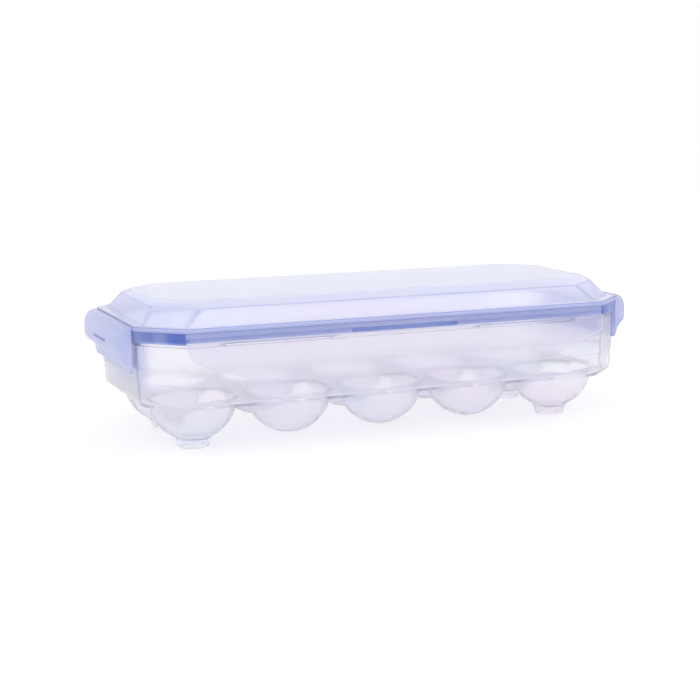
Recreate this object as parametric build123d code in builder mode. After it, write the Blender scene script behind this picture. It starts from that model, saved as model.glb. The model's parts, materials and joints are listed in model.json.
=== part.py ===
"""Egg keeper: a tub with ten cups and a lid that locks with four flaps on living hinges.

Millimetres, +Z up. The origin is on the table under the middle of the box, +X runs along its length
and -Y is its front. Plan outlines are the rim's outline, a rectangle with its corners cut off and
softened, moved inwards by an inset.
"""

import os
from math import sqrt

from build123d import *

os.makedirs("parts", exist_ok=True)

# Rim outline, the widest line of the lid, which every wall is set back from
rim_length = 265.0
rim_width = 124.8
rim_corner = 20.8  # leg of the cut-off corner
rim_rounding = 8.0  # softening where two sides meet
least_rounding = 1.5

# Cups and feet
cup_columns = 5
cup_rows = 2
cup_pitch_x = 50.0
cup_pitch_y = 52.0
cup_radius = 22.3  # outer face
cup_wall = 1.4
cup_clearance = 3.3  # table to the underside of a cup
foot_radius = 7.4  # at the table
foot_flare = 1.9  # how much wider it is at the cup
foot_wall = 1.5
foot_sink = 0.2  # its outer edge, above the cup's outer face

# Tub
base_wall = 1.6
wall_height = 30.5  # deck to shoulder
lower_step_height = 10.4  # above the deck
upper_step_height = 17.9
step_depth = 0.45
floor_rounding = 6.2
body_inset = 1.7
lip_height = 4.8
lip_wall = 1.4

# Wedge pads on the long walls, one above each outer cup
pad_width = 11.0
pad_height = 5.6
pad_depth = 1.1
pad_rise = 2.4  # above the deck

# Lid
lid_wall = 1.2
bead_height = 2.3
bead_relief = 0.5  # skirt set back under the rim's bead
bead_rounding = 0.8
skirt_wall = 1.2
plug_wall = 1.2
plug_depth = 3.4
dome_inset = 5.4
shoulder_rise = 8.1  # steep flank of the dome
shoulder_run_x = 5.8
shoulder_run_y = 4.5
shoulder_corner = 20.0
crown_rise = 2.7  # gentle bevel above the flank
crown_run_x = 3.0
crown_run_y = 11.0
crown_corner = 15.0
dome_rounding = 5.0

# Gasket and its clearances
gasket_height = 1.8
gasket_play = 0.1
apron_wall = 0.8
apron_drop = 4.2
apron_gap = 0.8
plug_gap = 1.0
seal_gap = 0.3
skirt_gap = 0.3  # under the skirt at the corners

# Living hinges
hinge_radius = 0.6
hinge_play = 0.15
hinge_web = 0.9  # hinge line to the skirt that carries it
web_relief = 0.3
end_web_height = 1.1  # below the hinge line
long_hinge_drop = 5.7  # below the rim's top
long_hinge_reach = 0.3  # beyond the rim
end_hinge_drop = 0.7
end_hinge_reach = 1.0

# Flaps
flap_wall = 1.4
flap_end_gap = 0.4
flap_rounding = 8.0
long_flap_drop = 21.5  # below its hinge line
long_flap_neck = 1.5  # straight stretch below the root
long_flap_bulge = 1.6
long_flap_belly = 12.5  # widest point, above the tip
long_flap_waist = 0.5
long_flap_lip = 3.2  # finger lip, above the tip
long_flap_bend = 5.0
long_flap_side = 9.5  # straight end above the slanted corner
long_flap_slant = 33.0
end_flap_width = 79.0
end_flap_drop = 22.2
end_flap_reach = 6.5
end_flap_start = 0.2  # root, below the hinge line
end_flap_fall = 0.8  # shoulder, below the hinge line
end_flap_shoulder = 1.7
end_cheek_top = 5.3  # below the hinge line
end_cheek_bottom = 12.9
end_flap_return = 6.0  # how far its lip stands in from the cheek
end_flap_lip = 3.6  # straight run of its lip along the wall
end_flap_bend = 4.0
end_flap_rounding = 3.5  # its corners, seen from the end
end_flap_corner = 2.5  # where its side walls begin, seen from above
window_length = 56.4  # gap in the long hinges
window_height = 0.65

# Locks
lock_gap = 0.3
slot_height = 1.2
slot_drop = 2.8
long_slot_length = 53.0
long_slot_spacing = 133.6
long_rib_length = 51.0
rib_height = 0.8
end_slot_length = 26.0
end_rib_length = 40.0
end_rib_drop = 9.4
end_ledge_length = 44.0
end_ledge_wall = 1.2
end_ledge_drop = 10.8

# Heights
deck_top = cup_clearance + cup_radius
deck_bottom = deck_top - base_wall
lower_step = deck_top + lower_step_height
upper_step = deck_top + upper_step_height
shoulder_top = deck_top + wall_height
lip_top = shoulder_top + lip_height
gasket_bottom = lip_top + seal_gap
channel_top = gasket_bottom + gasket_height
rim_top = channel_top + lid_wall
bead_bottom = rim_top - bead_height
skirt_bottom = shoulder_top + skirt_gap
plug_bottom = channel_top - plug_depth
flank_top = rim_top + shoulder_rise
crown_top = flank_top + crown_rise

# Insets from the rim's outline, from the outside in
skirt_outer = bead_relief
skirt_inner = skirt_outer + skirt_wall
apron_outer = skirt_inner + gasket_play
apron_inner = apron_outer + apron_wall
lip_outer = apron_inner + apron_gap
lip_inner = lip_outer + lip_wall
plug_outer = lip_inner + plug_gap
plug_inner = plug_outer + plug_wall

# Hinge lines and what hangs from them
rim_x = rim_length / 2
rim_y = rim_width / 2
long_hinge_y = rim_y + long_hinge_reach
long_hinge_z = rim_top - long_hinge_drop
long_skirt_bottom = long_hinge_z + hinge_web
end_hinge_x = rim_x + end_hinge_reach
end_hinge_z = rim_top - end_hinge_drop
flap_root = hinge_radius + hinge_play
long_flap_x = rim_x - rim_corner - flap_end_gap
body_x = rim_x - body_inset
body_y = rim_y - body_inset
reach = rim_length + rim_width  # longer than any cut needs


def outline(inset=0.0, mode=Mode.ADD):
    """Draw the rim's outline, moved inwards by an equal distance all round."""
    plan(rim_x - inset, rim_y - inset, rim_corner - inset * (2 - sqrt(2)), rim_rounding - inset, mode)


def plan(half_x, half_y, corner, rounding, mode=Mode.ADD):
    """Draw a rectangle with its corners cut off and the eight angles softened."""
    quarter = [(half_x, half_y - corner), (half_x - corner, half_y)]
    half = quarter + [(-x, y) for x, y in reversed(quarter)]
    with BuildLine() as edge:
        FilletPolyline(*half, *[(-x, -y) for x, y in half], radius=max(rounding, least_rounding), close=True)
    make_face(edge.edges(), mode=mode)


def ring(bottom, top, outer, inner, mode=Mode.ADD):
    """Raise the strip between two insets of the rim's outline."""
    with BuildSketch(Plane.XY.offset(bottom)) as strip:
        outline(outer)
        outline(inner, mode=Mode.SUBTRACT)
    extrude(strip.sketch, amount=top - bottom, mode=mode)


def slab(bottom, top, inset, mode=Mode.ADD):
    """Raise the whole area inside an inset of the rim's outline."""
    with BuildSketch(Plane.XY.offset(bottom)) as area:
        outline(inset)
    extrude(area.sketch, amount=top - bottom, mode=mode)


def tub(inset, floor, top, rounding):
    """Stack the wall's three bands, each set back a step from the one above, on a rounded floor."""
    with BuildPart() as stack:
        slab(floor, lower_step, inset + 2 * step_depth)
        fillet(stack.edges().group_by(Axis.Z)[0], rounding)
        slab(lower_step, upper_step, inset + step_depth)
        slab(upper_step, top, inset)
    return stack.part


def dome(inset, drop):
    """Loft the lid's steep flank and the gentle bevel above it, moved in and down by a wall."""
    flank_x, flank_y = rim_x - dome_inset, rim_y - dome_inset
    break_x, break_y = flank_x - shoulder_run_x, flank_y - shoulder_run_y
    loops = (
        (rim_top, flank_x, flank_y, rim_corner - dome_inset * (2 - sqrt(2))),
        (flank_top, break_x, break_y, shoulder_corner),
        (crown_top, break_x - crown_run_x, break_y - crown_run_y, crown_corner),
    )
    with BuildPart() as cover:
        faces = []
        for height, half_x, half_y, corner in loops:
            with BuildSketch(Plane.XY.offset(height - drop)) as loop:
                plan(half_x - inset, half_y - inset, corner - inset * (2 - sqrt(2)), dome_rounding)
            faces.append(loop.sketch)
        for lower, upper in zip(faces, faces[1:]):
            loft([lower, upper], ruled=True)
    return cover.part


hanging = (Align.CENTER, Align.CENTER, Align.MAX)  # a shape below its location
standing = (Align.CENTER, Align.CENTER, Align.MIN)  # a shape above its location
inwards = (Align.MIN, Align.CENTER, Align.CENTER)  # a shape to the right of its location


def cups():
    """Places of all the cups."""
    return GridLocations(cup_pitch_x, cup_pitch_y, cup_columns, cup_rows)


def corner_cups():
    """Places of the four cups that carry the feet."""
    return GridLocations(cup_pitch_x * (cup_columns - 1), cup_pitch_y * (cup_rows - 1), 2, 2)


def long_slots():
    """Places of the two slots of a long flap, along its length."""
    return GridLocations(long_slot_spacing, 0, 2, 1)


def strip(points, radius):
    """Draw a band of the flap's thickness along a path of straight runs and round bends."""
    with BuildLine() as path:
        FilletPolyline(*points, radius=radius)
    with BuildLine() as border:
        offset(path.wire(), amount=flap_wall / 2, side=Side.BOTH)
    make_face(border.edges())


def wedge_bar():
    """Make one bar right across the tub, flush with the walls at its top and proud of them at its foot."""
    wall_y = body_y - 2 * step_depth
    foot_z = deck_top + pad_rise
    right = [(wall_y + pad_depth, foot_z), (wall_y - pad_depth, foot_z + 2 * pad_height)]
    with BuildPart() as bar:
        with BuildSketch(Plane.YZ):
            with BuildLine():
                Polyline(*right, *[(-y, z) for y, z in reversed(right)], close=True)
            make_face()
        extrude(amount=pad_width / 2, both=True)
    return bar.part


# Base: feet and cups first, then the tub around them, then everything that is hollow
pads = wedge_bar()
with BuildPart() as base:
    foot_top = foot_radius + foot_flare
    foot_height = deck_top - sqrt(cup_radius**2 - foot_top**2) + foot_sink
    with corner_cups():
        Cone(foot_radius, foot_top, foot_height, align=standing)
        Cone(foot_radius - foot_wall, foot_top - foot_wall, foot_height, align=standing, mode=Mode.SUBTRACT)
    with Locations((0, 0, deck_top)), cups():
        Sphere(cup_radius, arc_size1=-90, arc_size2=0, align=hanging)
    add(tub(body_inset, deck_bottom, shoulder_top, floor_rounding))
    slab(shoulder_top, lip_top, lip_outer)

    # Lock ribs reach out of the wall towards the flaps, and stop short of all that the lid carries past them
    rib_tip = long_hinge_y - flap_wall / 2 - lock_gap
    end_lip_x = end_hinge_x + end_flap_reach - flap_wall - end_flap_return
    end_rib_tip = end_lip_x - lock_gap
    with Locations((0, 0, long_hinge_z - slot_drop)), long_slots():
        Box(long_rib_length, 2 * rib_tip, rib_height)
    with Locations((0, 0, end_hinge_z - end_rib_drop)):
        Box(2 * end_rib_tip, end_rib_length, rib_height)

    with GridLocations(cup_pitch_x, 0, cup_columns, 1):
        add(pads)

    cavity_top = shoulder_top - base_wall
    add(tub(body_inset + base_wall, deck_top, cavity_top, floor_rounding - base_wall), mode=Mode.SUBTRACT)
    slab(cavity_top, lip_top, lip_inner, mode=Mode.SUBTRACT)
    with Locations((0, 0, deck_top)), cups():
        Sphere(cup_radius - cup_wall, arc_size1=-90, arc_size2=0, align=hanging, mode=Mode.SUBTRACT)
base.part.label = "base"

# Lid: rim, skirt and dome as one block, hollowed from below
with BuildPart() as lid:
    slab(bead_bottom, rim_top, 0)
    fillet(lid.edges().group_by(Axis.Z)[-1], bead_rounding)
    slab(skirt_bottom, bead_bottom, skirt_outer)
    add(dome(0, 0))
    slab(skirt_bottom, plug_bottom, skirt_inner, mode=Mode.SUBTRACT)
    ring(plug_bottom, channel_top, skirt_inner, plug_outer, mode=Mode.SUBTRACT)
    slab(plug_bottom, rim_top - lid_wall, plug_inner, mode=Mode.SUBTRACT)
    add(dome(lid_wall, lid_wall), mode=Mode.SUBTRACT)

    # The skirt stops short over the long flaps, and shorter still at the window in their hinges
    with BuildSketch(Plane.XZ) as front_gaps:
        with BuildLine():
            window_x = window_length / 2
            window_top = long_skirt_bottom + window_height
            flap_x = long_flap_x + flap_end_gap
            right = [
                (window_x, window_top),
                (window_x, long_skirt_bottom),
                (flap_x, long_skirt_bottom),
                (flap_x, skirt_bottom),
            ]
            Polyline(*right, *[(-x, z) for x, z in reversed(right)], close=True)
        make_face()
    extrude(front_gaps.sketch, amount=reach, both=True, mode=Mode.SUBTRACT)
lid.part.label = "lid"

# Gasket: a flat ring that fills the channel, with a thin apron hanging outside the tub's lip
with BuildPart() as gasket:
    ring(gasket_bottom, channel_top, apron_outer, plug_outer - gasket_play)
    ring(gasket_bottom - apron_drop, gasket_bottom, apron_outer, apron_inner)
gasket.part.label = "gasket"

# Front flap: a bulged plate, cut to its front view, with two slots and a notch under the window
with BuildPart() as front_flap:
    root_y = -long_hinge_y
    root_z = long_hinge_z - flap_root - flap_wall / 2
    bulge_y = root_y - long_flap_bulge
    tip_z = long_hinge_z - long_flap_drop
    path = [
        (root_y, root_z),
        (root_y, root_z - long_flap_neck),
        (bulge_y, tip_z + long_flap_belly),
        (bulge_y + long_flap_waist, tip_z + long_flap_lip),
        (bulge_y, tip_z + flap_wall / 2),
    ]
    with BuildSketch(Plane.YZ) as section:
        strip(path, long_flap_bend)
    extrude(section.sketch, amount=long_flap_x, both=True)
    with BuildSketch(Plane.XZ) as view:
        slant_x, side_z = long_flap_x - long_flap_slant, long_hinge_z - long_flap_side
        right = [(long_flap_x, long_hinge_z - flap_root), (long_flap_x, side_z), (slant_x, tip_z)]
        radii = [flap_wall, flap_rounding, flap_rounding]
        with BuildLine():
            left = [(-x, z) for x, z in reversed(right)]
            FilletPolyline(*right, *left, radius=radii + radii[::-1], close=True)
        make_face()
    extrude(view.sketch, amount=reach, both=True, mode=Mode.INTERSECT)
    with Locations((0, 0, long_hinge_z - slot_drop)), long_slots():
        Box(long_slot_length, reach, slot_height, mode=Mode.SUBTRACT)
    with Locations((0, 0, root_z)):
        Box(window_length, reach, flap_wall, align=standing, mode=Mode.SUBTRACT)
front_flap.part.label = "front_flap"

with BuildPart() as rear_flap:
    mirror(front_flap.part, about=Plane.XZ)
rear_flap.part.label = "rear_flap"

# End flaps: a deep hooked section that stands out from the wall, closed by two side walls, with a lock
# ledge inside it
with BuildPart() as right_flap:
    root_x = end_hinge_x + flap_root + flap_wall / 2
    cheek_x = end_hinge_x + end_flap_reach - flap_wall / 2
    tip_z = end_hinge_z - end_flap_drop + flap_wall / 2
    path = [
        (root_x, end_hinge_z - end_flap_start),
        (cheek_x - end_flap_shoulder, end_hinge_z - end_flap_fall),
        (cheek_x, end_hinge_z - end_cheek_top),
        (cheek_x, end_hinge_z - end_cheek_bottom),
        (cheek_x - end_flap_return, tip_z + end_flap_lip),
        (cheek_x - end_flap_return, tip_z),
    ]
    with BuildSketch(Plane.XZ) as section:
        strip(path, end_flap_bend)
    extrude(section.sketch, amount=end_flap_width / 2, both=True)
    side_x = rim_x + lock_gap
    for side in (-1, 1):
        with BuildSketch(Plane.XZ.offset(side * (end_flap_width - flap_wall) / 2)) as side_wall:
            with BuildLine():
                FilletPolyline(*path, radius=end_flap_bend)
                Polyline(path[-1], (side_x, path[-1][1]), (side_x, path[0][1]), path[0])
            make_face()
        extrude(side_wall.sketch, amount=flap_wall / 2, both=True)
    ledge_x = end_rib_tip + lock_gap
    with Locations((ledge_x, 0, end_hinge_z - end_ledge_drop)):
        Box(cheek_x - ledge_x, end_ledge_length, end_ledge_wall, align=inwards)
    with BuildSketch(Plane.YZ) as view:
        with Locations((0, end_hinge_z + flap_wall)):
            height = end_flap_drop + flap_wall
            RectangleRounded(end_flap_width, height, end_flap_rounding, align=(Align.CENTER, Align.MAX))
    extrude(view.sketch, amount=reach, mode=Mode.INTERSECT)
    with BuildSketch() as view:
        RectangleRounded(2 * cheek_x + flap_wall, end_flap_width, end_flap_corner)
    extrude(view.sketch, amount=reach, mode=Mode.INTERSECT)
    with Locations((cheek_x, 0, end_hinge_z - end_rib_drop)):
        Box(reach, end_slot_length, slot_height, mode=Mode.SUBTRACT)
right_flap.part.label = "right_flap"

with BuildPart() as left_flap:
    mirror(right_flap.part, about=Plane.YZ)
left_flap.part.label = "left_flap"

# Living hinges: a round bead on the hinge line, drawn out into a web that reaches the lid
with BuildPart() as front_hinge:
    with BuildSketch(Plane.YZ.offset(window_length / 2)) as section:
        with BuildLine():
            Line(
                (skirt_inner - web_relief - rim_y, long_skirt_bottom),
                (skirt_outer - rim_y, long_skirt_bottom),
            )
        with Locations((-long_hinge_y, long_hinge_z)):
            Circle(hinge_radius)
        make_hull()
    extrude(section.sketch, amount=long_flap_x - window_length / 2)
    mirror(about=Plane.YZ)
front_hinge.part.label = "front_hinge"

with BuildPart() as rear_hinge:
    mirror(front_hinge.part, about=Plane.XZ)
rear_hinge.part.label = "rear_hinge"

with BuildPart() as right_hinge:
    with BuildSketch(Plane.XZ) as section:
        with BuildLine():
            Line((rim_x, end_hinge_z - end_web_height), (rim_x, rim_top - bead_rounding))
        with Locations((end_hinge_x, end_hinge_z)):
            Circle(hinge_radius)
        make_hull()
    extrude(section.sketch, amount=end_flap_width / 2 - end_flap_rounding, both=True)
right_hinge.part.label = "right_hinge"

with BuildPart() as left_hinge:
    mirror(right_hinge.part, about=Plane.YZ)
left_hinge.part.label = "left_hinge"

flaps = (front_flap, rear_flap, left_flap, right_flap)
hinges = (front_hinge, rear_hinge, left_hinge, right_hinge)
for piece in (base, lid, gasket, *flaps, *hinges):
    export_step(piece.part, f"parts/{piece.part.label}.step")
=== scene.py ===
"""Looks of an egg keeper: a tub with ten cups, a faceted lid with a blue seal, and four lock flaps.

The file is laid out as a Blender add-on and run as a script. Metres, +Z up, -Y is the front. The packed
solids are the frame, and each piece made here stands for the solid of the same name. Most pieces are a
profile carried along the rim's plan outline: the profile is a list of loops, one for each of its points,
and every loop has the same stations along the outline, so that a shape is a grid of loops and stations.
"""

import json
from math import cos, radians, sin, sqrt, tan

import bmesh
import bpy
import numpy as np
from mathutils import Matrix, Vector

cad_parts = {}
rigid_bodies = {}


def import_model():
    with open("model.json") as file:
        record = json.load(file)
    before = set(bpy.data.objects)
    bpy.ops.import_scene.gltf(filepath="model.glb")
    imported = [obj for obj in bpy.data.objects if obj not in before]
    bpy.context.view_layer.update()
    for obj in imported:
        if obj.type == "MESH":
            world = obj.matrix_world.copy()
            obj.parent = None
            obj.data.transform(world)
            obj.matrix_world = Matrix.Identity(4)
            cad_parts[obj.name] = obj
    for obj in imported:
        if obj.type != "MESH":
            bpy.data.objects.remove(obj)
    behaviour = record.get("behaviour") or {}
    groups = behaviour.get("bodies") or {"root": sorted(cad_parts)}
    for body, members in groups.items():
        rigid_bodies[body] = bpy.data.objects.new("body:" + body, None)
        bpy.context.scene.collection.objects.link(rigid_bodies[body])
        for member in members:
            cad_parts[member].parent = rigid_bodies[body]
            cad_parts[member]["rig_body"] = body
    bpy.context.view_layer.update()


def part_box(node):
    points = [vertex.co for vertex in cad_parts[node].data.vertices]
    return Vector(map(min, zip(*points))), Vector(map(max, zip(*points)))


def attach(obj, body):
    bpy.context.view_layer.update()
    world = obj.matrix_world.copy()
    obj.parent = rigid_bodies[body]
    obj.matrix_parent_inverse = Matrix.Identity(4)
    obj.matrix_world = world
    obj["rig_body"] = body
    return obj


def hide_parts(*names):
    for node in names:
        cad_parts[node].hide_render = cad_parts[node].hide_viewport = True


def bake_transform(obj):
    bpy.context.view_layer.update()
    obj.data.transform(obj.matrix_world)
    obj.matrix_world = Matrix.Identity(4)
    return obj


bl_info = {
    "name": "Egg Keeper",
    "version": (1, 0, 0),
    "blender": (4, 5, 0),
    "location": "View3D > Sidebar > Egg Keeper",
    "description": "Tub, lid, seal, lock flaps and living hinges of an egg keeper, built around its solids",
    "category": "Add Mesh",
}

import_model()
MM = 0.001
FRAME_WIDTH = 700  # pixels
SENSOR = 36.0  # millimetres

lid_low, lid_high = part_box("lid")
_, base_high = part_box("base")
gasket_low, gasket_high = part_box("gasket")
long_flap_low, long_flap_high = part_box("front_flap")
end_flap_low, end_flap_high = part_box("right_flap")
_, end_hinge_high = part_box("right_hinge")


def length(value, name, description):
    """A length in metres, with its default."""
    return bpy.props.FloatProperty(
        name=name, description=description, default=value, unit="LENGTH", precision=4
    )


def colour(value, name, description):
    """A linear colour, with its default."""
    return bpy.props.FloatVectorProperty(
        name=name, description=description, default=value, size=3, subtype="COLOR", min=0.0, max=1.0
    )


def number(value, name, description):
    """A plain number, with its default."""
    return bpy.props.FloatProperty(name=name, description=description, default=value)


def angle(value, name, description):
    """An angle given in degrees, kept in radians."""
    return bpy.props.FloatProperty(
        name=name, description=description, default=radians(value), subtype="ANGLE"
    )


class KeeperOutline(bpy.types.PropertyGroup):
    """Plan outline of the rim, which every wall is set back from."""

    half_length: length(lid_high.x, "Half length", "Middle to the rim's end")
    half_width: length(lid_high.y, "Half width", "Middle to the rim's front")
    corner: length(20.8 * MM, "Corner", "Leg of the cut-off corner")
    rounding: length(8 * MM, "Rounding", "Softening where two sides meet")
    gap_end: length(long_flap_high.x + 0.4 * MM, "Gap end", "Middle to where the skirt drops at a corner")


class KeeperTub(bpy.types.PropertyGroup):
    """Tub, cups and feet."""

    wall: length(1.6 * MM, "Wall", "Thickness of the tub's wall and deck")
    rounding: length(13.9 * MM, "Rounding", "Softening of the tub's upright edges, taken at the rim")
    # painted shade: the end walls are darkened with the edge colour towards the ends
    end_shade_run: length(8 * MM, "End run", "How far from the rim's end the end walls' tint begins")
    painted_end_shade: number(0.34, "End depth", "Share of the edge colour in the end walls")
    top_inset: length(1.7 * MM, "Top inset", "Rim to the upper band of the wall")
    step: length(0.45 * MM, "Step", "Set-back of each lower band")
    deck: length(25.6 * MM, "Deck", "Height of the deck's upper face")
    lower_step: length(36 * MM, "Lower step", "Height of the lower step")
    upper_step: length(43.5 * MM, "Upper step", "Height of the upper step")
    shoulder: length(56.1 * MM, "Shoulder", "Height of the shoulder that carries the lip")
    lip_inset: length(3.4 * MM, "Lip inset", "Rim to the lip's outer face")
    lip_wall: length(1.4 * MM, "Lip wall", "Thickness of the lip")
    floor_rounding: length(6.2 * MM, "Floor rounding", "Radius between wall and floor, outside")
    cup_radius: length(22.3 * MM, "Cup radius", "Outer radius of a cup")
    cup_wall: length(1.4 * MM, "Cup wall", "Thickness of a cup")
    cup_pitch_x: length(50 * MM, "Cup pitch along", "Distance between cups along the box")
    cup_pitch_y: length(52 * MM, "Cup pitch across", "Distance between the two rows")
    cup_brim: length(1.1 * MM, "Cup brim", "Rounding where a cup meets the deck")
    foot_radius: length(7.4 * MM, "Foot radius", "Outer radius of a foot at the table")
    foot_flare: length(1.9 * MM, "Foot flare", "How much wider a foot is at its cup")
    foot_wall: length(1.5 * MM, "Foot wall", "Thickness of the ring foot")
    pad_half: length(5.5 * MM, "Pad half width", "Half width of a wedge pad")
    pad_foot: length(28 * MM, "Pad foot", "Height of a wedge pad's foot")
    pad_height: length(5.6 * MM, "Pad height", "Height of a wedge pad")
    pad_depth: length(1.1 * MM, "Pad depth", "How proud a wedge pad's foot stands")
    long_rib_height: length(55.7 * MM, "Long rib height", "Height of the lock ribs at the long flaps")
    long_rib_half: length(25.5 * MM, "Long rib half length", "Half length of a lock rib")
    end_rib_height: length(54.1 * MM, "End rib height", "Height of the lock ribs at the end flaps")
    end_rib_half: length(20 * MM, "End rib half length", "Half length of an end rib")
    rib_wall: length(0.8 * MM, "Rib wall", "Thickness of a lock rib")


class KeeperLid(bpy.types.PropertyGroup):
    """Rim, skirt, plug and dome of the lid."""

    wall: length(1.2 * MM, "Wall", "Thickness of the dome and the rim")
    rim_top: length(64.2 * MM, "Rim top", "Height of the rim's flat top")
    bead_height: length(2.3 * MM, "Bead height", "Height of the bead along the rim")
    bead_relief: length(0.5 * MM, "Bead relief", "Set-back of the skirt under the bead")
    skirt_wall: length(1.2 * MM, "Skirt wall", "Thickness of the skirt")
    window_half: length(28.2 * MM, "Window half length", "Half length of the gap in the long hinges")
    window_height: length(0.1 * MM, "Window height", "How much the skirt is cut back at the window")
    plug_outer: length(5.8 * MM, "Plug outer inset", "Rim to the plug's outer face")
    plug_inner: length(7 * MM, "Plug inner inset", "Rim to the plug's inner face")
    plug_bottom: length(59.6 * MM, "Plug bottom", "Height of the plug's lower edge")
    dome_inset: length(5.4 * MM, "Dome inset", "Rim to the foot of the dome")
    flank_top: length(72.3 * MM, "Flank top", "Height of the break between flank and bevel")
    flank_run_x: length(5.8 * MM, "Flank run along", "How far the flank leans in at the ends")
    flank_run_y: length(4.5 * MM, "Flank run across", "How far the flank leans in at front and back")
    flank_corner: length(20 * MM, "Flank corner", "Corner leg at the break")
    crown_run_x: length(3 * MM, "Crown run along", "How far the bevel runs in at the ends")
    crown_run_y: length(11 * MM, "Crown run across", "How far the bevel runs in at front and back")
    crown_corner: length(15 * MM, "Crown corner", "Corner leg of the flat top")
    rounding: length(5 * MM, "Dome rounding", "Softening of the dome's upright edges")
    # painted shade in the corner skirts, with a painted highlight band of the given glint and width
    corner_skirt_shade: number(0.95, "Corner depth", "Share of the edge colour in the skirt at the corners")
    glint: number(0.32, "Glint", "How much paler the band in a corner's skirt is")
    glint_width: length(2.5 * MM, "Glint width", "Half width of the pale band in a corner's skirt")
    # painted shade in the end flanks and a painted refraction of the seal where the flank turns
    flank_painted_shade: number(0.14, "Flank depth", "Share of the edge colour in the end flanks")
    flank_refraction_patch: number(0.35, "Flank patch", "Share of the edge colour where the flank turns its corner")
    # painted shade: dark bands on the skirt and the bead, and dark lines along the rim's edges and the dome's
    # break
    skirt_painted_shade: number(0.4, "Skirt depth", "Share of the edge colour in the skirt under the bead")
    bead_painted_shade: number(0.3, "Bead depth", "Share of the edge colour in the bead's outer face")
    rim_shade_line: number(0.85, "Rim line", "Share of the edge colour along the bead's edges")
    break_shade_line: number(0.3, "Break line", "Share of the edge colour along the break of the dome")
    top_inset: length(3 * MM, "Top inset", "From the bevel's upper edge to where the flat top's fill begins")
    crown_softness: length(1.4 * MM, "Crown softness", "Softening of the flat top's edge")
    break_softness: length(1.0 * MM, "Break softness", "Softening of the line between flank and bevel")


class KeeperSeal(bpy.types.PropertyGroup):
    """Flat ring in the lid's channel, with an apron that hangs outside the tub's lip."""

    outer: length(lid_high.x - gasket_high.x, "Outer inset", "Rim to the apron's outer face")
    inner: length(5.7 * MM, "Inner inset", "Rim to the ring's inner edge")
    height: length(1.8 * MM, "Height", "Thickness of the flat ring")
    apron_wall: length(0.8 * MM, "Apron wall", "Thickness of the apron")
    play: length(0.06 * MM, "Play", "Gap between the seal and the lid's channel")


class KeeperFlaps(bpy.types.PropertyGroup):
    """Lock flaps, their slots and the films that carry them."""

    wall: length(1.4 * MM, "Wall", "Thickness of a flap")
    edge: length(0.35 * MM, "Edge", "Rounding of a flap's edges")
    long_hinge_y: length(62.7 * MM, "Long hinge line", "Middle to the hinge line of a long flap")
    long_hinge_z: length(58.5 * MM, "Long hinge height", "Height of a long flap's hinge line")
    end_hinge_x: length(133.5 * MM, "End hinge line", "Middle to the hinge line of an end flap")
    end_hinge_z: length(63.5 * MM, "End hinge height", "Height of an end flap's hinge line")
    slant: length(33 * MM, "Slant", "Length of a long flap's slanted corner")
    side: length(9.5 * MM, "Side", "Hinge line to the slanted corner")
    rounding: length(8 * MM, "Rounding", "Softening of the slanted corner")
    slot_middle: length(66.8 * MM, "Slot middle", "Middle to the middle of a long slot")
    slot_half: length(26.5 * MM, "Slot half length", "Half length of a long slot")
    slot_drop: length(2.8 * MM, "Slot drop", "Hinge line to the middle of a long slot")
    slot_height: length(1.2 * MM, "Slot height", "Height of the slots")
    # painted shadow along each long slot's upper edge
    slot_shadow_line: number(0.5, "Slot line", "Share of the edge colour along a long slot's upper edge")
    end_slot_half: length(13 * MM, "End slot half length", "Half length of an end flap's slot")
    end_slot_drop: length(9.4 * MM, "End slot drop", "Hinge line to the middle of an end slot")
    end_rounding: length(3.5 * MM, "End rounding", "Softening of an end flap's corners, seen from the end")
    end_corner: length(3.5 * MM, "End corner", "Radius where an end flap's side walls begin, seen from above")
    side_gap: length(0.3 * MM, "Side gap", "Gap between the lid's rim and an end flap's side walls")
    end_lip: length(3.6 * MM, "End lip", "Straight run of an end flap's lip along the wall")
    end_return: length(6.0 * MM, "End return", "How far the lip stands in from the end flap's cheek")
    ledge_half: length(22 * MM, "Ledge half length", "Half length of the lock ledge in an end flap")
    ledge_drop: length(10.8 * MM, "Ledge drop", "Hinge line to the lock ledge")
    ledge_depth: length(6.7 * MM, "Ledge depth", "How far the lock ledge reaches in")
    ledge_overlap: length(0.2 * MM, "Ledge overlap", "How far the ledge's middle surface runs into the wall")
    film: length(0.7 * MM, "Film", "Thickness of a living hinge")
    film_edge: length(0.15 * MM, "Film edge", "Rounding of a film's edges")
    bend_run: length(0.8 * MM, "Bend run", "Half the height over which a long film bends")
    end_bend_in: length(0.6 * MM, "End bend start", "End hinge line to where an end film starts to bend")


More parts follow.
